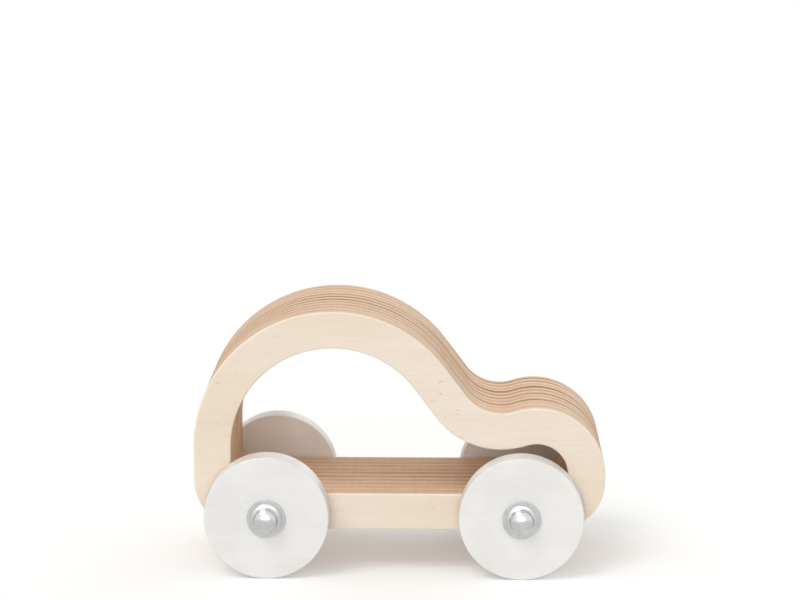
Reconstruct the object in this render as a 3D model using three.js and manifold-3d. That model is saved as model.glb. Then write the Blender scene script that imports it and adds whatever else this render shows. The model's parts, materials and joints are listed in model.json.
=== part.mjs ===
import * as THREE from 'three';
import { mergeVertices } from 'three/addons/utils/BufferGeometryUtils.js';
import Module from 'manifold-3d';

// A push car sawn from thick plywood: one closed band with four white wheels.
// Driving dimensions in millimetres and degrees. The nose points along +X, +Z is up.

// Body
const bodyWidth = 60;           // the plywood's thickness, across the car
const bandThickness = 15;       // the band is equally thick all the way round
const edgeEase = 0.8;           // small chamfer along the sawn edges
const roofInnerRadius = 41;     // the hand window under the roof
const roofCentreRise = 26;      // roof centre above the axle line
const roofCentreAhead = 26.2;   // roof centre ahead of the rear axle
const screenSlope = 53;         // windscreen, degrees below level
const screenLength = 15;        // straight stretch of the windscreen
const dipRadius = 17.5;         // upper side of the dip between windscreen and bonnet
const bonnetRise = 18.5;        // slope where the bonnet begins, degrees above level
const bonnetInnerRadius = 12.5;
const cornerInnerRadius = 5;    // where the floor turns up into tail and nose

// Wheels
const wheelbase = 102;
const wheelDiameter = 50;
const wheelThickness = 10;
const wheelEdgeRound = 0.5;
const hubBushWall = 2;

// Axles and what holds the wheels on them
const axleDiameter = 6;
const axleEndChamfer = 0.6;
const washerRim = 4.5;          // ring width of every washer
const innerWasherThickness = 1;
const outerWasherThickness = 0.8;
const capGrip = 3.4;            // length of axle inside its cap
const capCrown = 1.8;           // height of the cap's dome over the axle end
const capWall = 1.4;
const capFlangeRim = 1.8;
const capFlangeThickness = 0.9;

// Clearances
const runningFit = 0.08;        // hub bush on axle, radial
const pressGap = 0.04;          // axle in body, bush in wheel, cap on axle, radial
const washerPlay = 0.2;         // washer on axle, radial
const seatGap = 0.1;            // between neighbours along the axle

// Smoothness of round shapes
const wheelSides = 48;
const fittingSides = 24;
const outlineSteps = 10;
const roundSteps = 3;

const wood = new THREE.MeshStandardMaterial({ color: 0xedd9bd, roughness: 0.62, metalness: 0 });
const lacquer = new THREE.MeshStandardMaterial({ color: 0xf2f0ea, roughness: 0.38, metalness: 0 });
const nylon = new THREE.MeshStandardMaterial({ color: 0xe4e0d6, roughness: 0.5, metalness: 0 });
const steel = new THREE.MeshStandardMaterial({ color: 0xb9bcc0, roughness: 0.3, metalness: 1 });

const rad = THREE.MathUtils.degToRad;
const halfBand = bandThickness / 2;
const axleHeight = wheelDiameter / 2;
const axleRadius = axleDiameter / 2;

// Middle line of the band, seen from the car's right side, with the rear axle at x = 0.
// The floor lies on the axle line. Each stretch leaves the one before it without a kink.
function along(from, distance, angle) {
  return { x: from.x + distance * Math.cos(angle), z: from.z + distance * Math.sin(angle) };
}

const roofEnd = rad(90 - screenSlope);
const dipEnd = rad(270 + bonnetRise);

const roof = {
  x: roofCentreAhead,
  z: axleHeight + roofCentreRise,
  r: roofInnerRadius + halfBand,
};
const dipReach = dipRadius + halfBand;
const dip = {
  ...along(along(roof, roof.r + dipReach, roofEnd), screenLength, roofEnd - Math.PI / 2),
  r: dipReach,
};
const bonnetReach = bonnetInnerRadius + halfBand;
const bonnet = { ...along(dip, dip.r + bonnetReach, dipEnd), r: bonnetReach };
const cornerReach = cornerInnerRadius + halfBand;
const tailCorner = { x: roof.x - roof.r + cornerReach, z: axleHeight + cornerReach, r: cornerReach };
const noseCorner = { x: bonnet.x + bonnet.r - cornerReach, z: axleHeight + cornerReach, r: cornerReach };

const tailEnd = roof.x - roof.r - halfBand;
const noseEnd = bonnet.x + bonnet.r + halfBand;
const middle = (tailEnd + noseEnd) / 2;
const rearAxleX = -middle;
const frontAxleX = wheelbase - middle;

// One side of the band: offset is half the band outwards or inwards from the middle line.
// The line runs from the nose over the roof to the tail, and closes along the floor.
function bandEdge(path, offset) {
  const bend = (centre, start, end) =>
    path.absarc(centre.x - middle, centre.z, centre.r + offset, start, end, false);
  bend(noseCorner, -Math.PI / 2, 0);
  bend(bonnet, 0, dipEnd - Math.PI);
  path.absarc(dip.x - middle, dip.z, dip.r - offset, dipEnd, roofEnd + Math.PI, true);
  bend(roof, roofEnd, Math.PI);
  bend(tailCorner, Math.PI, Math.PI * 1.5);
  return path;
}

// Booleans
const wasm = await Module();
wasm.setup();

function toSolid(geometry) {
  const bare = geometry.clone();
  bare.deleteAttribute('normal');
  bare.deleteAttribute('uv');
  const welded = mergeVertices(bare);
  return new wasm.Manifold(new wasm.Mesh({
    numProp: 3,
    vertProperties: Float32Array.from(welded.attributes.position.array),
    triVerts: Uint32Array.from(welded.index.array),
  }));
}

function cut(geometry, cutter) {
  const result = toSolid(geometry).subtract(toSolid(cutter)).getMesh();
  const shape = new THREE.BufferGeometry();
  shape.setAttribute('position', new THREE.BufferAttribute(result.vertProperties, 3));
  shape.setIndex(new THREE.BufferAttribute(result.triVerts, 1));
  shape.computeVertexNormals();
  return shape;
}

function piece(name, geometry, material) {
  const mesh = new THREE.Mesh(geometry, material);
  mesh.name = name;
  return mesh;
}

// A turned piece: profile points are [radius, distance along the axle].
function turned(name, material, profile, sides, phase = 0) {
  const points = profile.map(([radius, y]) => new THREE.Vector2(radius, y));
  return piece(name, new THREE.LatheGeometry(points, sides, phase), material);
}

function ringProfile(inner, outer, start, end) {
  return [[inner, start], [outer, start], [outer, end], [inner, end], [inner, start]];
}

function makeBody() {
  const outline = bandEdge(new THREE.Shape(), halfBand);
  outline.holes.push(bandEdge(new THREE.Path(), -halfBand));
  let block = new THREE.ExtrudeGeometry(outline, {
    depth: bodyWidth - 2 * edgeEase,
    curveSegments: outlineSteps,
    bevelEnabled: true,
    bevelThickness: edgeEase,
    bevelSize: edgeEase,
    bevelOffset: -edgeEase,
    bevelSegments: 1,
  });
  block.rotateX(Math.PI / 2);
  block.translate(0, bodyWidth / 2 - edgeEase, 0);
  const drillRadius = axleRadius + pressGap;
  for (const x of [rearAxleX, frontAxleX]) {
    const drill = new THREE.CylinderGeometry(drillRadius, drillRadius, bodyWidth + 2, fittingSides);
    drill.translate(x, 0, axleHeight);
    block = cut(block, drill);
  }
  return piece('body', block, wood);
}

// What sits on each axle end, in order outwards from the car's centre plane.
const innerWasherStart = bodyWidth / 2 + seatGap;
const wheelStart = innerWasherStart + innerWasherThickness + seatGap;
const outerWasherStart = wheelStart + wheelThickness + seatGap;
const capStart = outerWasherStart + outerWasherThickness + seatGap;
const axleEnd = capStart + capGrip;

function makeAxle(name, x) {
  const shoulder = axleEnd - axleEndChamfer;
  const tip = axleRadius - axleEndChamfer;
  const axle = turned(name, steel, [
    [0, -axleEnd], [tip, -axleEnd], [axleRadius, -shoulder],
    [axleRadius, shoulder], [tip, axleEnd], [0, axleEnd],
  ], fittingSides);
  axle.position.set(x, 0, axleHeight);
  return axle;
}

// A flat of the many-sided tread meets the ground, so the flats lie at the wheel's radius.
function makeWheel(name) {
  const treadRadius = axleHeight / Math.cos(Math.PI / wheelSides);
  const boreRadius = axleRadius + runningFit + hubBushWall + pressGap;
  const end = wheelStart + wheelThickness;
  const profile = [[boreRadius, wheelStart]];
  for (const [centre, from] of [[wheelStart + wheelEdgeRound, -Math.PI / 2], [end - wheelEdgeRound, 0]]) {
    for (let step = 0; step <= roundSteps; step++) {
      const angle = from + step / roundSteps * Math.PI / 2;
      profile.push([
        treadRadius - wheelEdgeRound * (1 - Math.cos(angle)),
        centre + wheelEdgeRound * Math.sin(angle),
      ]);
    }
  }
  profile.push([boreRadius, end], [boreRadius, wheelStart]);
  return turned(name, lacquer, profile, wheelSides, Math.PI / wheelSides);
}

function makeHubBush(name) {
  const outer = axleRadius + runningFit + hubBushWall;
  const inner = (axleRadius + runningFit) / Math.cos(Math.PI / wheelSides);
  const profile = ringProfile(inner, outer, wheelStart, wheelStart + wheelThickness);
  return turned(name, nylon, profile, wheelSides, Math.PI / wheelSides);
}

function makeWasher(name, material, start, thickness) {
  const inner = axleRadius + washerPlay;
  return turned(name, material, ringProfile(inner, inner + washerRim, start, start + thickness), fittingSides);
}

function makeCap(name) {
  const bore = axleRadius + pressGap;
  const dome = bore + capWall;
  const domeStart = axleEnd + seatGap;
  const profile = [
    [0, domeStart], [bore, domeStart], [bore, capStart],
    [dome + capFlangeRim, capStart], [dome + capFlangeRim, capStart + capFlangeThickness],
    [dome, capStart + capFlangeThickness],
  ];
  for (let step = 0; step < roundSteps + 1; step++) {
    const angle = step / (roundSteps + 1) * Math.PI / 2;
    profile.push([dome * Math.cos(angle), domeStart + capCrown * Math.sin(angle)]);
  }
  profile.push([0, domeStart + capCrown]);
  return turned(name, steel, profile, fittingSides);
}

const car = new THREE.Group();
car.name = 'push_car';
car.add(makeBody());

for (const [end, x] of [['front', frontAxleX], ['rear', rearAxleX]]) {
  car.add(makeAxle(`axle_${end}`, x));
  for (const [side, turn] of [['left', 0], ['right', Math.PI]]) {
    const place = `${end}_${side}`;
    const station = new THREE.Group();
    station.position.set(x, 0, axleHeight);
    station.rotation.z = turn;
    station.add(
      makeWasher(`inner_washer_${place}`, nylon, innerWasherStart, innerWasherThickness),
      makeWheel(`wheel_${place}`),
      makeHubBush(`hub_bush_${place}`),
      makeWasher(`outer_washer_${place}`, steel, outerWasherStart, outerWasherThickness),
      makeCap(`axle_cap_${place}`),
    );
    car.add(station);
  }
}

export default car;
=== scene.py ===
import json
import math

import bmesh
import bpy
from mathutils import Matrix, Vector

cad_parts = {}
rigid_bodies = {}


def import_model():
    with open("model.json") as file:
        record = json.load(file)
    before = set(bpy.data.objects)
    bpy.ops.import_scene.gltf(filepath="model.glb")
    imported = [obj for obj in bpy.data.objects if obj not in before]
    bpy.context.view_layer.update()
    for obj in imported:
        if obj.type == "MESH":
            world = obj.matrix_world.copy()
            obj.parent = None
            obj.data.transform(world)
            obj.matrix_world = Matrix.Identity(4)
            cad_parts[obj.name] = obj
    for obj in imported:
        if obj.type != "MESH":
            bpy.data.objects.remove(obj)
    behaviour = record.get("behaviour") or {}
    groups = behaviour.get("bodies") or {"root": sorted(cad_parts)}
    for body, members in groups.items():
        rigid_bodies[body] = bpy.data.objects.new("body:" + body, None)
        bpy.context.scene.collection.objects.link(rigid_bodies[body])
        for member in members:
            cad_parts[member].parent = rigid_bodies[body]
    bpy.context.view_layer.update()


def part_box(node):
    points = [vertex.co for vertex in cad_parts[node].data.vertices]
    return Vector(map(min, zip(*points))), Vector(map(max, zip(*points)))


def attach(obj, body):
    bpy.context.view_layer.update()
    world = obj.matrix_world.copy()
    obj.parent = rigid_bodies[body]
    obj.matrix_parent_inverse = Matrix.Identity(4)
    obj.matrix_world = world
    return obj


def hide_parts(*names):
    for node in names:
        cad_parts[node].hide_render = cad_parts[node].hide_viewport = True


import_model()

mm = 0.001
axleAxis = Vector((0, 1, 0))
ends = ("front", "rear")
sides = ("left", "right")
pureWhite = (1, 1, 1, 1)
noiseMiddle = 0.5
usualSpan = (0.3, 0.7)  # most of a noise lies between these


def middleOf(node):
    low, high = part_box(node)
    return (low + high) / 2


def reachOf(node):  # radius, then near and far distance from the car's centre plane
    low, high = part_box(node)
    near, far = sorted((abs(low.y), abs(high.y)))
    return (high.z - low.z) / 2, near, far


# Shader helpers: a value, a socket or a node can feed any input

def feed(tree, value, socket):
    if isinstance(value, bpy.types.Node):
        value = value.outputs[0]
    if isinstance(value, bpy.types.NodeSocket):
        tree.links.new(value, socket)
    else:
        socket.default_value = value


def addNode(tree, kind, settings, inputs):
    node = tree.nodes.new(kind)
    for key, value in settings.items():
        setattr(node, key, value)
    for key, value in inputs.items():
        feed(tree, value, node.inputs[key])
    return node


def calc(tree, operation, a, b=0.0):
    return addNode(tree, "ShaderNodeMath", {"operation": operation}, {0: a, 1: b}).outputs[0]


def product(tree, first, *others):
    for other in others:
        first = calc(tree, "MULTIPLY", first, other)
    return first


def remap(tree, value, fromLow, fromHigh, toLow, toHigh):  # a soft step from one range to another
    return addNode(tree, "ShaderNodeMapRange", {"interpolation_type": "SMOOTHSTEP"},
                   {0: value, 1: fromLow, 2: fromHigh, 3: toLow, 4: toHigh}).outputs[0]


def rise(tree, value, low, high):
    return remap(tree, value, low, high, 0.0, 1.0)


def fall(tree, value, low, high):
    return remap(tree, value, low, high, 1.0, 0.0)


def mixColour(tree, factor, a, b):
    return addNode(tree, "ShaderNodeMix", {"data_type": "RGBA"}, {0: factor, 6: a, 7: b}).outputs[2]


def mixValue(tree, factor, a, b):
    return addNode(tree, "ShaderNodeMix", {"data_type": "FLOAT"}, {0: factor, 2: a, 3: b}).outputs[0]


def scaled(tree, vector, scale):
    return addNode(tree, "ShaderNodeVectorMath", {"operation": "MULTIPLY"}, {0: vector, 1: scale}).outputs[0]


def noise(tree, vector, scale, detail, roughness):
    inputs = {"Vector": scaled(tree, vector, scale), "Scale": 1.0, "Detail": detail, "Roughness": roughness}
    return addNode(tree, "ShaderNodeTexNoise", {}, inputs).outputs[0]


def pattern(tree, vector, look):  # a noise, with a span of its values remapped
    return remap(tree, noise(tree, vector, *look["noise"]), *look["span"])


def strayed(tree, vector, look):  # a noise that reaches equally far to both sides of zero
    around = calc(tree, "SUBTRACT", noise(tree, vector, *look["noise"]), noiseMiddle)
    return product(tree, around, look["reach"])


def chance(tree, number, seed):  # one steady random value for each whole number
    shifted = calc(tree, "ADD", number, seed)
    return addNode(tree, "ShaderNodeTexWhiteNoise", {"noise_dimensions": "1D"}, {"W": shifted}).outputs[0]


def stepped(tree, value, levels):  # one level after another, in equal steps of the value from 0 to 1
    node = addNode(tree, "ShaderNodeValToRGB", {}, {0: value})
    node.color_ramp.interpolation = "CONSTANT"
    stops = node.color_ramp.elements
    while len(stops) < len(levels):
        stops.new(1.0)
    for index, level in enumerate(levels):
        stops[index].position = index / len(levels)
        stops[index].color = (level, level, level, 1)
    return node.outputs[0]


def bumped(tree, height, relief):
    inputs = {"Strength": relief["strength"], "Distance": relief["depth"], "Height": height}
    return addNode(tree, "ShaderNodeBump", {}, inputs)


def distanceTo(tree, x, z, point):
    off = [calc(tree, "SUBTRACT", part, middle) for part, middle in zip((x, z), point)]
    return calc(tree, "SQRT", calc(tree, "ADD", *[product(tree, part, part) for part in off]))


def millimetres(tree):
    place = tree.nodes.new("ShaderNodeTexCoord").outputs["Object"]
    return scaled(tree, place, [1 / mm] * 3)


def newGroup(name, takes, gives):
    tree = bpy.data.node_groups.new(name, "ShaderNodeTree")
    for label, kind in takes.items():
        tree.interface.new_socket(label, in_out="INPUT", socket_type=kind)
    for label in gives:
        tree.interface.new_socket(label, in_out="OUTPUT", socket_type="NodeSocketFloat")
    return tree, tree.nodes.new("NodeGroupInput").outputs, tree.nodes.new("NodeGroupOutput").inputs


def placeGroup(tree, group, inputs):
    return addNode(tree, "ShaderNodeGroup", {"node_tree": group}, inputs).outputs


def newMaterial(name):
    material = bpy.data.materials.new(name)
    material.use_nodes = True
    tree = material.node_tree
    return material, tree, tree.nodes["Principled BSDF"].inputs


# Effects that several materials share
# A noise is given as cycles per mm on each axis, detail and roughness
# A span is two values, and what they turn into

fibreLook = {
    "broad": ((0.012, 0.16, 0.16), 3.0, 0.5),
    "fine": ((0.05, 1.7, 1.7), 4.0, 0.6),
    "fineShare": 0.6,
    "pore": {"noise": ((0.28, 3.4, 3.4), 1.0, 0.5), "span": (0.60, 0.74, 0.0, 1.0)},
}
mottleLook = {"cloud": ((1, 1, 1), 3.0, 0.5), "skin": ((14, 14, 14), 2.0, 0.5)}  # per cloud size, not per mm


def makeFibreGroup():  # the fibres run along the x of the place that comes in
    tree, takes, gives = newGroup("woodFibre", {"Place": "NodeSocketVector"}, ["Streak", "Pore"])
    place = takes["Place"]
    broad = noise(tree, place, *fibreLook["broad"])
    fine = noise(tree, place, *fibreLook["fine"])
    feed(tree, rise(tree, mixValue(tree, fibreLook["fineShare"], broad, fine), *usualSpan), gives["Streak"])
    feed(tree, pattern(tree, place, fibreLook["pore"]), gives["Pore"])
    return tree


def makeMottleGroup():  # cloudiness and fine skin of a coated, moulded or drawn surface
    takes = {"Place": "NodeSocketVector", "Size": "NodeSocketFloat"}
    tree, takes, gives = newGroup("mottle", takes, ["Cloud", "Skin"])
    sized = {0: takes["Place"], 1: takes["Size"]}
    place = addNode(tree, "ShaderNodeVectorMath", {"operation": "DIVIDE"}, sized).outputs[0]
    feed(tree, noise(tree, place, *mottleLook["cloud"]), gives["Cloud"])
    feed(tree, noise(tree, place, *mottleLook["skin"]), gives["Skin"])
    return tree


woodFibre = makeFibreGroup()
mottle = makeMottleGroup()

# Plywood: a solid texture, so faces, sawn edges and drilled holes all cut through the same plies

plywoodLook = {
    # plies and the joints between them, counted from the car's right face
    "crossPlies": 10,                          # with upright fibres, between plies that run along the car
    "crossToAlong": 0.665,                     # their thickness against that of the other plies
    "outerSkin": 0.03,                         # mm, the least depth that counts as inside the board
    "wander": {"noise": ((0.022, 0.10, 0.022), 2.0, 0.5), "reach": 0.3},  # mm, how far a joint strays
    "ragged": {"noise": ((0.45, 0.6, 0.45), 4.0, 0.7), "reach": 0.15},    # mm, how far its torn fibres reach
    "seeds": {"darkness": 0.13, "glue": 0.37, "tone": 0.71},

    # how far sideways a surface points, from 0 to 1
    "sawnTurn": (0.55, 0.95),                  # where a sawn edge turns into a face
    "arrisIn": (0.10, 0.45),                   # where the sanded corner between them begins; it is drawn paler, with a painted highlight
    "arrisOut": (0.88, 0.995),                 # and where it ends

    # end grain; how dark the cross plies are, one after another, outside the dip and then in it, where part
    # of their darkness is painted shade
    "crossDarkness": (0.26, 0.28, 0.66, 0.55, 1.00, 0.84, 0.60, 0.36, 0.44, 0.36),
    "dipPliesWithShade": (0.16, 0.22, 0.80, 0.34, 1.00, 0.54, 1.00, 0.30, 0.46, 0.56),
    "alongDarkness": (0.40, 0.70),             # how dark the other plies are where they are cut across
    "alongEndOn": 6.0,                         # how soon that fades as the edge turns
    "endGrainWithDipShade": (0.92, 1.12),                    # end grain strength outside the dip and in it; the rise in the dip is painted shade
    "dipCentre": (41.0, 83.3),                 # mm, x and z; where the painted shade of the dip is centred
    "dipReach": (22.0, 48.0),                  # mm
    "floorFaint": (34.0, 48.0, 0.55, 1.0),     # span of heights in mm; low down the plies differ less
    "patchy": {"noise": ((0.022, 0.35, 0.022), 4.0, 0.6), "span": (*usualSpan, 0.40, 1.45)},
    "darkDipJoint": 14,                           # the joint that is drawn dark in the dip
    "darkDipJointReach": (0.5, 1.4),                   # mm, how far its darkening reaches

    # glue lines
    "glueWidth": {"noise": ((0.05, 0.45, 0.05), 2.0, 0.5), "span": (0.42, 0.72, 0.14, 0.46)},  # to mm
    "glueCore": 0.4,                           # share of the width that is fully dark
    "glueSeen": {"noise": ((0.06, 0.5, 0.06), 4.0, 0.65), "span": (0.40, 0.62, 0.10, 1.0)},
    "glueStrength": (0.3, 1.0),                # of the weakest and the strongest line
    "paleNearFace": (4.0, 15.0),               # mm from a face, where glue lines are faint
    "paleGlue": 0.05,

    # face veneer
    "faceCloud": {"noise": ((0.009, 0.03, 0.03), 3.0, 0.5), "span": (0.40, 0.75, 0.0, 0.55)},
    "faceStreak": (0.0, 1.0, 0.30, 0.0),
    "faceDash": {"noise": ((0.09, 0.3, 1.10), 2.0, 0.5), "span": (0.55, 0.75, 0.0, 0.40)},
    "fleckSpot": {"noise": ((0.27, 0.5, 1.20), 1.0, 0.5), "span": (0.66, 0.76, 0.0, 0.8)},
    "fleckPatch": {"noise": ((0.018, 0.05, 0.03), 1.0, 0.5), "span": (0.45, 0.60, 0.0, 0.5)},
    "fleckCentre": (17.0, 67.0),               # mm, x and z; most flecks lie below the windscreen
    "fleckReach": (8.0, 26.0),                 # mm

    # sawn edge
    "streakInTone": 0.45,                      # the rest is each ply's own tone
    "poreDark": (0.2, 1.0, 0.12, 0.42),        # span, from cut along to cut across
    "sawMarks": {"noise": ((1.1, 0.06, 1.1), 3.0, 0.6), "span": (0.35, 0.65, 0.10, 0.0)},

    # colours
    "face": (0.900, 0.790, 0.678, 1),
    "faceWarm": (0.800, 0.645, 0.460, 1),
    "edgePale": (0.890, 0.672, 0.490, 1),
    "edgeTan": (0.820, 0.576, 0.390, 1),
    "endGrain": (0.415, 0.218, 0.095, 1),
    "glue": (0.260, 0.115, 0.045, 1),
    "fleck": (0.560, 0.350, 0.165, 1),
    # the sanded corner: paler wood, with a painted highlight on it
    "paleArrisAndHighlight": (0.945, 0.865, 0.750, 1),
    "paleArrisAndHighlightShows": 0.85,

    # surface
    "roughness": (0.66, 0.56),                 # between the streaks and on them
    "endGrainDull": 0.15,                      # added where the end grain is open
    "specular": 0.15,
    "relief": {"streak": 0.5, "glue": 0.4, "pore": 0.5, "strength": 0.35, "depth": 0.12 * mm},
}


def makePlywood():
    look = plywoodLook
    seeds = look["seeds"]
    low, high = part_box("body")
    depth = (high.y - low.y) / mm
    along = depth / (look["crossPlies"] + 1 + look["crossPlies"] * look["crossToAlong"])
    cross = along * look["crossToAlong"]
    pairSize = along + cross
    material, tree, shader = newMaterial("birchPlywood")
    place = millimetres(tree)
    x, y, z = addNode(tree, "ShaderNodeSeparateXYZ", {}, {0: place}).outputs
    normal = tree.nodes.new("ShaderNodeTexCoord").outputs["Normal"]
    facing = addNode(tree, "ShaderNodeSeparateXYZ", {}, {0: normal}).outputs
    lengthwise, sideways, upward = [calc(tree, "ABSOLUTE", part) for part in facing]
    sawn = fall(tree, sideways, *look["sawnTurn"])  # 1 on sawn edges, 0 on the two faces
    # the sanded corner between sawn edge and face, drawn paler with a painted highlight
    paleArrisAndHighlightMask = product(tree, rise(tree, sideways, *look["arrisIn"]), fall(tree, sideways, *look["arrisOut"]))

    # which ply a point lies in, and how far off the next joint is
    stray = calc(tree, "ADD", strayed(tree, place, look["wander"]), strayed(tree, place, look["ragged"]))
    depthHere = calc(tree, "ADD", calc(tree, "ADD", y, depth / 2), stray)
    depthHere = calc(tree, "MINIMUM", depthHere, depth - look["outerSkin"])
    depthHere = calc(tree, "MAXIMUM", depthHere, look["outerSkin"])
    pairCount = calc(tree, "DIVIDE", depthHere, pairSize)
    pair = calc(tree, "FLOOR", pairCount)
    inPair = product(tree, calc(tree, "FRACT", pairCount), pairSize)
    isCross = calc(tree, "GREATER_THAN", inPair, along)
    earlierPlies = product(tree, pair, 2.0)
    ply = calc(tree, "ADD", earlierPlies, isCross)
    pastFirst = calc(tree, "GREATER_THAN", inPair, along / 2)
    pastSecond = calc(tree, "GREATER_THAN", inPair, along + cross / 2)
    joint = calc(tree, "ADD", earlierPlies, calc(tree, "ADD", pastFirst, pastSecond))
    toMiddle = calc(tree, "ABSOLUTE", calc(tree, "SUBTRACT", inPair, along))
    toEnds = calc(tree, "MINIMUM", inPair, calc(tree, "SUBTRACT", pairSize, inPair))
    toJoint = calc(tree, "MINIMUM", toMiddle, toEnds)

    # fibres run along the car in one ply and upright in the next
    turned = addNode(tree, "ShaderNodeCombineXYZ", {}, {0: z, 1: y, 2: x}).outputs[0]
    fibreAlong = placeGroup(tree, woodFibre, {"Place": place})
    fibreUp = placeGroup(tree, woodFibre, {"Place": turned})
    streak = mixValue(tree, isCross, fibreAlong["Streak"], fibreUp["Streak"])
    pore = mixValue(tree, isCross, fibreAlong["Pore"], fibreUp["Pore"])

    # end grain drinks more oil; in the dip it is drawn darker still, as painted shade
    alongEndOn = calc(tree, "POWER", lengthwise, look["alongEndOn"])
    endOn = mixValue(tree, isCross, alongEndOn, calc(tree, "SQRT", upward))
    cutAcross = product(tree, endOn, sawn)
    # mask of the dip, where the end grain gets painted shade
    shadedDip = fall(tree, distanceTo(tree, x, z, look["dipCentre"]), *look["dipReach"])
    endGrainWithDipShade = product(tree, mixValue(tree, shadedDip, *look["endGrainWithDipShade"]), remap(tree, z, *look["floorFaint"]))
    alongDark = remap(tree, chance(tree, ply, seeds["darkness"]), 0.0, 1.0, *look["alongDarkness"])
    crossMiddle = calc(tree, "ADD", pair, 0.5)  # the middle of this cross ply's step
    crossNumber = calc(tree, "DIVIDE", crossMiddle, float(look["crossPlies"]))
    crossDark = stepped(tree, crossNumber, look["crossDarkness"])
    crossDark = mixValue(tree, shadedDip, crossDark, stepped(tree, crossNumber, look["dipPliesWithShade"]))
    plyDark = mixValue(tree, isCross, alongDark, crossDark)
    endGrain = product(tree, cutAcross, endGrainWithDipShade, pattern(tree, place, look["patchy"]), plyDark)
    endGrain = calc(tree, "MINIMUM", endGrain, 1.0)
    # one joint in the dip is drawn dark across a band on both sides of it
    darkDipJointMask = calc(tree, "COMPARE", joint, float(look["darkDipJoint"]))
    darkDipJointMask = product(tree, darkDipJointMask, fall(tree, toJoint, *look["darkDipJointReach"]), shadedDip, sawn)
    endGrain = calc(tree, "MAXIMUM", endGrain, darkDipJointMask)

    # dark glue lines, wide in some places and gone in others, faint beside the faces
    width = pattern(tree, place, look["glueWidth"])
    line = fall(tree, toJoint, product(tree, width, look["glueCore"]), width)
    seen = pattern(tree, place, look["glueSeen"])
    strong = remap(tree, chance(tree, joint, seeds["glue"]), 0.0, 1.0, *look["glueStrength"])
    nearFace, deeper = [depth / 2 - distance for distance in look["paleNearFace"]]
    inside = remap(tree, calc(tree, "ABSOLUTE", y), deeper, nearFace, 1.0, look["paleGlue"])
    glue = product(tree, line, seen, strong, inside, sawn)

    # face veneer: pale, with warmer clouds, faint streaks and a few brown flecks
    warm = look["faceWarm"]
    faceColour = mixColour(tree, pattern(tree, place, look["faceCloud"]), look["face"], warm)
    faceColour = mixColour(tree, remap(tree, streak, *look["faceStreak"]), faceColour, warm)
    faceColour = mixColour(tree, pattern(tree, place, look["faceDash"]), faceColour, warm)
    fleckHeap = fall(tree, distanceTo(tree, x, z, look["fleckCentre"]), *look["fleckReach"])
    fleckPatch = calc(tree, "MAXIMUM", pattern(tree, place, look["fleckPatch"]), fleckHeap)
    fleck = product(tree, pattern(tree, place, look["fleckSpot"]), fleckPatch)
    faceColour = mixColour(tree, fleck, faceColour, look["fleck"])

    # sawn edge: each ply has its own tone, and the saw left marks across the plies
    tone = mixValue(tree, look["streakInTone"], chance(tree, ply, seeds["tone"]), streak)
    edgeColour = mixColour(tree, tone, look["edgeTan"], look["edgePale"])
    edgeColour = mixColour(tree, endGrain, edgeColour, look["endGrain"])
    poreDark = product(tree, pore, remap(tree, cutAcross, *look["poreDark"]))
    edgeColour = mixColour(tree, poreDark, edgeColour, look["endGrain"])
    edgeColour = mixColour(tree, glue, edgeColour, look["glue"])
    edgeColour = mixColour(tree, pattern(tree, place, look["sawMarks"]), edgeColour, look["endGrain"])
    colour = mixColour(tree, sawn, faceColour, edgeColour)
    # paler sanded wood and a painted highlight along the corner
    colour = mixColour(tree, product(tree, paleArrisAndHighlightMask, look["paleArrisAndHighlightShows"]), colour, look["paleArrisAndHighlight"])
    feed(tree, colour, shader["Base Color"])

    # bare oiled wood: dull, with fibres and glue lines that can just be felt
    dull = remap(tree, streak, 0.0, 1.0, *look["roughness"])
    dull = calc(tree, "ADD", dull, product(tree, endGrain, look["endGrainDull"]))
    feed(tree, dull, shader["Roughness"])
    shader["Specular IOR Level"].default_value = look["specular"]
    relief = look["relief"]
    hollow = calc(tree, "ADD", product(tree, glue, relief["glue"]), product(tree, pore, relief["pore"]))
    height = calc(tree, "SUBTRACT", product(tree, streak, relief["streak"]), hollow)
    feed(tree, bumped(tree, height, relief), shader["Normal"])
    return material


lacquerLook = {
    "white": (0.890, 0.881, 0.857, 1),
    "offWhite": (0.805, 0.787, 0.754, 1),
    "cloudSize": 16.0,                         # mm
    "cloudSpan": (0.35, 0.70),
    "grainShows": 0.45,                        # share of the wood's streaks in the tone of the coat
    "roughness": (0.30, 0.44),
    "relief": {"skin": 0.35, "grain": 0.25, "strength": 0.40, "depth": 0.06 * mm},
}


def makeLacquer():
    look = lacquerLook
    material, tree, shader = newMaterial("whiteLacquer")
    place = millimetres(tree)
    coat = placeGroup(tree, mottle, {"Place": place, "Size": look["cloudSize"]})
    fibre = placeGroup(tree, woodFibre, {"Place": place})
    cloud = rise(tree, coat["Cloud"], *look["cloudSpan"])
    tone = mixValue(tree, look["grainShows"], cloud, fibre["Streak"])
    feed(tree, mixColour(tree, tone, look["white"], look["offWhite"]), shader["Base Color"])
    feed(tree, remap(tree, coat["Cloud"], *usualSpan, *look["roughness"]), shader["Roughness"])
    relief = look["relief"]
    grain = product(tree, fibre["Streak"], relief["grain"])  # the wood can just be felt through the coat
    height = calc(tree, "ADD", product(tree, coat["Skin"], relief["skin"]), grain)
    feed(tree, bumped(tree, height, relief), shader["Normal"])
    return material


steelLooks = {                                 # cloud sizes in mm
    "drawnSteel": {"bright": (0.66, 0.66, 0.67, 1), "dark": (0.52, 0.52, 0.53, 1),
                   "roughness": (0.28, 0.42), "cloudSize": 3.0},
    "polishedCap": {"bright": (0.76, 0.76, 0.77, 1), "dark": (0.66, 0.66, 0.67, 1),
                    "roughness": (0.14, 0.26), "cloudSize": 5.0},
}
steelMarks = {
    "scratch": ((0.4, 9.0, 0.4), 2.0, 0.5),    # fine rings round the axle
    "scratchShare": 0.5,                       # in the tone, the rest is cloud
    "toneSpan": (0.35, 0.65),
    "relief": {"strength": 0.12, "depth": 0.03 * mm},
}


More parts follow.
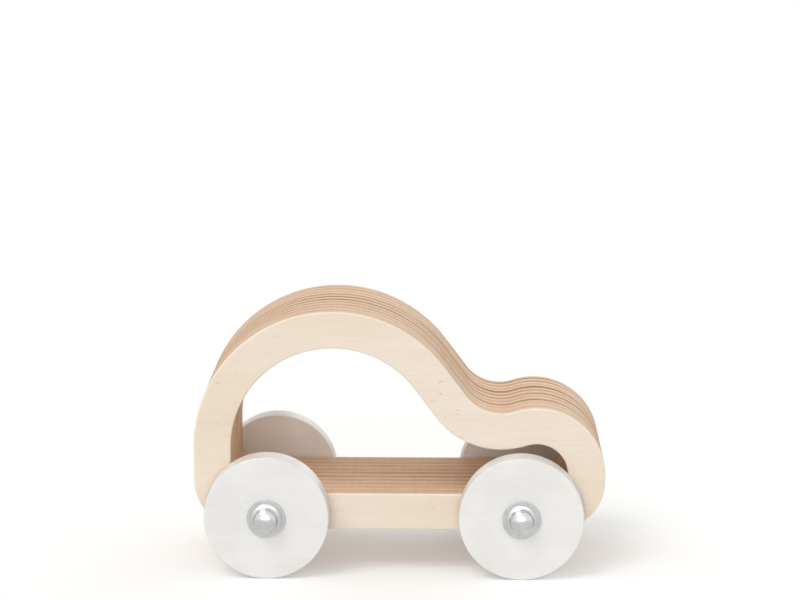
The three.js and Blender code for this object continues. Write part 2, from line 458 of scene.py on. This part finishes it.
def makeSteel(name):
    look = steelLooks[name]
    material, tree, shader = newMaterial(name)
    shader["Metallic"].default_value = 1.0
    place = millimetres(tree)
    coat = placeGroup(tree, mottle, {"Place": place, "Size": look["cloudSize"]})
    scratch = noise(tree, place, *steelMarks["scratch"])
    spread = mixValue(tree, steelMarks["scratchShare"], coat["Cloud"], scratch)
    tone = rise(tree, spread, *steelMarks["toneSpan"])
    feed(tree, mixColour(tree, tone, look["bright"], look["dark"]), shader["Base Color"])
    feed(tree, remap(tree, spread, *usualSpan, *look["roughness"]), shader["Roughness"])
    feed(tree, bumped(tree, scratch, steelMarks["relief"]), shader["Normal"])
    return material


nylonLook = {
    "pale": (0.78, 0.76, 0.70, 1),
    "deep": (0.70, 0.67, 0.60, 1),
    "cloudSize": 4.0,                          # mm
    "roughness": (0.42, 0.56),
    "relief": {"strength": 0.15, "depth": 0.04 * mm},
}


def makeNylon():
    look = nylonLook
    material, tree, shader = newMaterial("naturalNylon")
    coat = placeGroup(tree, mottle, {"Place": millimetres(tree), "Size": look["cloudSize"]})
    feed(tree, mixColour(tree, coat["Cloud"], look["pale"], look["deep"]), shader["Base Color"])
    feed(tree, remap(tree, coat["Cloud"], *usualSpan, *look["roughness"]), shader["Roughness"])
    feed(tree, bumped(tree, coat["Skin"], look["relief"]), shader["Normal"])
    return material


plywood = makePlywood()
lacquer = makeLacquer()
drawnSteel = makeSteel("drawnSteel")
polishedCap = makeSteel("polishedCap")
nylon = makeNylon()
print("materials:", len(bpy.data.materials))


# Steps that every piece shares

flatFaceWeight = 100  # large flat faces keep their shading up to their rounded edges


def finishPiece(bm, name, material, body, node):
    bmesh.ops.recalc_face_normals(bm, faces=bm.faces)
    mesh = bpy.data.meshes.new(name)
    bm.to_mesh(mesh)
    bm.free()
    mesh.shade_smooth()
    mesh.materials.append(material)
    piece = bpy.data.objects.new(name, mesh)
    bpy.context.scene.collection.objects.link(piece)
    piece.modifiers.new("evenShading", "WEIGHTED_NORMAL").weight = flatFaceWeight
    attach(piece, body)
    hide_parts(node)
    return piece


def easeEdges(bm, edges, offset, segments):
    bmesh.ops.bevel(bm, geom=edges, offset=offset, offset_type="OFFSET", segments=segments,
                    profile=0.5, affect="EDGES", clamp_overlap=True, material=-1)


# Body: one flat section swept round the car

bodyBand = {
    "thickness": 15 * mm,
    "edgeEase": 0.8 * mm,
    "easeSegments": 4,
    "roofInnerRadius": 41 * mm,
    "roofCentreRise": 26 * mm,                 # above the axle line
    "roofCentreAhead": 26.2 * mm,              # ahead of the rear axle
    "screenSlope": 53,                         # degrees below level
    "screenLength": 15 * mm,
    "dipRadius": 17.5 * mm,
    "bonnetRise": 18.5,                        # degrees above level
    "bonnetInnerRadius": 12.5 * mm,
    "cornerInnerRadius": 5 * mm,
    "degreesPerStep": 2,
    "fewestSteps": 4,
    "sharpAngle": 60,                          # degrees, edges over this are eased
    "mergeDistance": 0.01 * mm,
    "holeGap": 0.04 * mm,
    "holeSides": 64,
}


def ofKind(parts, kind):
    return [part for part in parts if isinstance(part, kind)]


class BandSweep:
    def __init__(self, bm, start, heading, width, thickness):
        self.bm = bm
        self.place = start.copy()
        self.heading = heading.copy()
        corners = [(-1, -1), (1, -1), (1, 1), (-1, 1)]
        verts = [bm.verts.new(start + Vector((0, y * width / 2, z * thickness / 2))) for y, z in corners]
        edges = [bm.edges.new((verts[i], verts[i - 1])) for i in range(len(corners))]
        self.ring = verts + edges

    def straight(self, length):
        edges = ofKind(self.ring, bmesh.types.BMEdge)
        made = bmesh.ops.extrude_edge_only(self.bm, edges=edges)["geom"]
        verts = ofKind(made, bmesh.types.BMVert)
        rim = [edge for edge in ofKind(made, bmesh.types.BMEdge) if set(edge.verts) <= set(verts)]
        bmesh.ops.translate(self.bm, verts=verts, vec=self.heading * length)
        self.place += self.heading * length
        self.ring = verts + rim

    def turn(self, degrees, radius):  # positive bends towards the inside of the car, negative away from it
        angle = math.radians(degrees)
        inward = Matrix.Rotation(math.copysign(math.pi / 2, degrees), 3, axleAxis) @ self.heading
        centre = self.place + inward * radius
        steps = max(bodyBand["fewestSteps"], round(abs(degrees) / bodyBand["degreesPerStep"]))
        made = bmesh.ops.spin(self.bm, geom=self.ring, cent=centre, axis=axleAxis, angle=angle, steps=steps)
        rotation = Matrix.Rotation(angle, 3, axleAxis)
        self.place = centre + rotation @ (self.place - centre)
        self.heading = rotation @ self.heading
        self.ring = made["geom_last"]


def drillHole(piece, axle):
    radius, _, far = reachOf(axle)
    radius += bodyBand["holeGap"]
    bm = bmesh.new()
    lying = Matrix.Translation(middleOf(axle)) @ Matrix.Rotation(math.pi / 2, 4, "X")
    bmesh.ops.create_cone(bm, cap_ends=True, segments=bodyBand["holeSides"], radius1=radius, radius2=radius,
                          depth=2 * far, matrix=lying)
    mesh = bpy.data.meshes.new("drill")
    bm.to_mesh(mesh)
    bm.free()
    drill = bpy.data.objects.new("drill", mesh)
    bpy.context.scene.collection.objects.link(drill)
    bore = piece.modifiers.new("bore", "BOOLEAN")
    bore.operation = "DIFFERENCE"
    bore.solver = "EXACT"
    bore.object = drill
    piece.modifiers.move(len(piece.modifiers) - 1, 0)
    bpy.context.view_layer.objects.active = piece
    bpy.ops.object.modifier_apply(modifier="bore")
    bpy.data.objects.remove(drill)


def makeBody():
    band = bodyBand
    low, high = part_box("body")
    axle = middleOf("axle_rear")
    half = band["thickness"] / 2
    roofRadius = band["roofInnerRadius"] + half
    cornerRadius = band["cornerInnerRadius"] + half
    tailMiddle = axle.x + band["roofCentreAhead"] - roofRadius
    start = Vector((tailMiddle + cornerRadius, 0, axle.z))
    bm = bmesh.new()
    sweep = BandSweep(bm, start, Vector((-1, 0, 0)), high.y - low.y, band["thickness"])
    sweep.turn(90, cornerRadius)                                                     # tail corner
    sweep.straight(band["roofCentreRise"] - cornerRadius)                            # tail
    sweep.turn(90 + band["screenSlope"], roofRadius)                                 # roof
    sweep.straight(band["screenLength"])                                             # windscreen
    sweep.turn(-band["screenSlope"] - band["bonnetRise"], band["dipRadius"] + half)  # dip
    sweep.turn(90 + band["bonnetRise"], band["bonnetInnerRadius"] + half)            # bonnet
    sweep.straight(sweep.place.z - axle.z - cornerRadius)                            # nose
    sweep.turn(90, cornerRadius)                                                     # nose corner
    sweep.straight(sweep.place.x - start.x)                                          # floor
    bmesh.ops.remove_doubles(bm, verts=bm.verts, dist=band["mergeDistance"])
    bmesh.ops.recalc_face_normals(bm, faces=bm.faces)
    corners = [edge for edge in bm.edges if edge.calc_face_angle(0) > math.radians(band["sharpAngle"])]
    easeEdges(bm, corners, band["edgeEase"], band["easeSegments"])
    piece = finishPiece(bm, "plywoodBody", plywood, "chassis", "body")
    for end in ends:
        drillHole(piece, f"axle_{end}")
    return piece


body = makeBody()
print("body:", len(body.data.polygons), "faces")

# Turned pieces: a half outline of (radius, distance along the axle, rounding) spun round the axle

wheelShape = {"edgeRound": 0.5 * mm, "boreEase": 0.3 * mm, "bushGap": 0.04 * mm, "steps": 160}
bushShape = {"ease": 0.2 * mm, "axleGap": 0.08 * mm, "steps": 64}
washerShape = {"ease": 0.15 * mm, "axlePlay": 0.2 * mm, "steps": 72}
capShape = {"wall": 1.4 * mm, "axleGap": 0.04 * mm, "crown": 1.8 * mm, "flange": 0.9 * mm,
            "flangeRound": 0.35 * mm, "domeSteps": 8, "steps": 72}
axleShape = {"chamfer": 0.6 * mm, "steps": 48}
turning = {"mergeDistance": 0.001 * mm, "ringTolerance": 0.002 * mm, "roundingSegments": 4}


def turnPiece(name, node, outline, closed, steps, material, bodyName):
    hub = middleOf(node)
    outward = -1 if hub.y < 0 else 1
    hub.y = 0
    bm = bmesh.new()
    verts = [bm.verts.new(hub + Vector((0, outward * y, radius))) for radius, y, rounding in outline]
    pairs = list(zip(verts, verts[1:] + verts[:1]))
    edges = [bm.edges.new(pair) for pair in (pairs if closed else pairs[:-1])]
    bmesh.ops.spin(bm, geom=verts + edges, cent=hub, axis=axleAxis, angle=math.tau,
                   steps=steps, use_merge=True)
    bmesh.ops.remove_doubles(bm, verts=bm.verts, dist=turning["mergeDistance"])
    bmesh.ops.recalc_face_normals(bm, faces=bm.faces)

    def onRing(vert, radius, y):
        off = vert.co - hub
        misses = (math.hypot(off.x, off.z) - radius, outward * off.y - y)
        return all(abs(miss) < turning["ringTolerance"] for miss in misses)

    for radius, y, rounding in outline:
        if rounding:
            ring = [edge for edge in bm.edges if all(onRing(vert, radius, y) for vert in edge.verts)]
            easeEdges(bm, ring, rounding, turning["roundingSegments"])
    return finishPiece(bm, name, material, bodyName, node)


def ringOutline(inner, outer, near, far, innerEase, outerEase):
    return [(inner, near, innerEase), (outer, near, outerEase),
            (outer, far, outerEase), (inner, far, innerEase)]


def makeWheel(place):
    shape = wheelShape
    bore = reachOf(f"hub_bush_{place}")[0] + shape["bushGap"]
    radius, near, far = reachOf(f"wheel_{place}")
    outline = ringOutline(bore, radius, near, far, shape["boreEase"], shape["edgeRound"])
    turnPiece(f"whiteWheel_{place}", f"wheel_{place}", outline, True, shape["steps"],
              lacquer, f"{place}_wheel")


def makeBush(place, axleRadius):
    shape = bushShape
    radius, near, far = reachOf(f"hub_bush_{place}")
    outline = ringOutline(axleRadius + shape["axleGap"], radius, near, far, shape["ease"], shape["ease"])
    turnPiece(f"hubBush_{place}", f"hub_bush_{place}", outline, True, shape["steps"],
              nylon, f"{place}_wheel")


def makeWasher(place, layer, axleRadius, material):
    shape = washerShape
    node = f"{layer}_washer_{place}"
    radius, near, far = reachOf(node)
    outline = ringOutline(axleRadius + shape["axlePlay"], radius, near, far, shape["ease"], shape["ease"])
    turnPiece(f"{layer}Washer_{place}", node, outline, True, shape["steps"], material, "chassis")


def makeCap(place, axleRadius):
    shape = capShape
    radius, near, far = reachOf(f"axle_cap_{place}")
    bore = axleRadius + shape["axleGap"]
    dome = bore + shape["wall"]
    shoulder = far - shape["crown"]
    brim = near + shape["flange"]
    outline = [(0, shoulder, 0), (bore, shoulder, 0), (bore, near, 0), (radius, near, 0),
               (radius, brim, shape["flangeRound"]), (dome, brim, 0)]
    for step in range(shape["domeSteps"]):
        angle = step / shape["domeSteps"] * math.pi / 2
        outline.append((dome * math.cos(angle), shoulder + shape["crown"] * math.sin(angle), 0))
    outline.append((0, far, 0))
    turnPiece(f"axleCap_{place}", f"axle_cap_{place}", outline, False, shape["steps"],
              polishedCap, "chassis")


def makeAxle(end):
    radius, _, tip = reachOf(f"axle_{end}")
    chamfer = axleShape["chamfer"]
    outline = [(0, -tip, 0), (radius - chamfer, -tip, 0), (radius, chamfer - tip, 0),
               (radius, tip - chamfer, 0), (radius - chamfer, tip, 0), (0, tip, 0)]
    turnPiece(f"axleRod_{end}", f"axle_{end}", outline, False, axleShape["steps"],
              drawnSteel, "chassis")


for end in ends:
    makeAxle(end)
    axleRadius = reachOf(f"axle_{end}")[0]
    for side in sides:
        place = f"{end}_{side}"
        makeWheel(place)
        makeBush(place, axleRadius)
        makeWasher(place, "inner", axleRadius, nylon)
        makeWasher(place, "outer", axleRadius, drawnSteel)
        makeCap(place, axleRadius)
print("running gear: four wheels on two axles")

# Stage, light and camera

stageLook = {"floor": (0.86, 0.86, 0.85, 1), "roughness": 0.9, "specular": 0.1, "glow": 0.26, "size": 14.0}
skyStrength = 0.55
lampLooks = {
    "key": {"energy": 0.88, "from": (-0.42, -0.50, 0.95), "angle": 32},
    "frontFill": {"energy": 0.80, "from": (-0.06, -1.00, 0.19), "angle": 40},
    "backFill": {"energy": 0.64, "from": (0.50, 1.00, 0.22), "angle": 50},
}
cameraView = {"place": (0.021607, -1.04301, 0.30688), "azimuth": 1.203, "elevation": 10.890,
              "lens": 117.0, "sensor": 36}


def makeFloor():
    bm = bmesh.new()
    bmesh.ops.create_grid(bm, x_segments=1, y_segments=1, size=stageLook["size"] / 2)
    mesh = bpy.data.meshes.new("paleFloor")
    bm.to_mesh(mesh)
    bm.free()
    floor = bpy.data.objects.new("paleFloor", mesh)
    bpy.context.scene.collection.objects.link(floor)
    material, tree, shader = newMaterial("paleFloor")
    shader["Base Color"].default_value = stageLook["floor"]
    shader["Roughness"].default_value = stageLook["roughness"]
    shader["Specular IOR Level"].default_value = stageLook["specular"]
    shader["Emission Color"].default_value = pureWhite
    rays = tree.nodes.new("ShaderNodeLightPath").outputs
    feed(tree, product(tree, rays["Is Camera Ray"], stageLook["glow"]), shader["Emission Strength"])
    mesh.materials.append(material)


def makeLight():
    scene = bpy.context.scene
    world = bpy.data.worlds.new("softStudio")
    world.use_nodes = True
    tree = world.node_tree
    rays = tree.nodes.new("ShaderNodeLightPath").outputs
    mirrored = calc(tree, "MAXIMUM", rays["Is Glossy Ray"], rays["Is Transmission Ray"])
    seen = calc(tree, "MAXIMUM", rays["Is Camera Ray"], mirrored)
    background = tree.nodes["Background"].inputs
    background["Color"].default_value = pureWhite
    feed(tree, mixValue(tree, seen, skyStrength, 1.0), background["Strength"])
    scene.world = world
    scene.view_settings.view_transform = "Standard"
    for name, look in lampLooks.items():
        sun = bpy.data.lights.new(name, "SUN")
        sun.energy = look["energy"]
        sun.angle = math.radians(look["angle"])
        lamp = bpy.data.objects.new(name, sun)
        lamp.rotation_euler = Vector(look["from"]).to_track_quat("Z", "Y").to_euler()
        scene.collection.objects.link(lamp)


def makeCamera():
    view = cameraView
    lens = bpy.data.cameras.new("photoView")
    lens.lens = view["lens"]
    lens.sensor_width = view["sensor"]
    camera = bpy.data.objects.new("photoView", lens)
    camera.location = view["place"]
    camera.rotation_euler = (math.radians(90 - view["elevation"]), 0, math.radians(view["azimuth"]))
    bpy.context.scene.collection.objects.link(camera)
    bpy.context.scene.camera = camera


makeFloor()
makeLight()
makeCamera()
print("stage, light and camera are set")
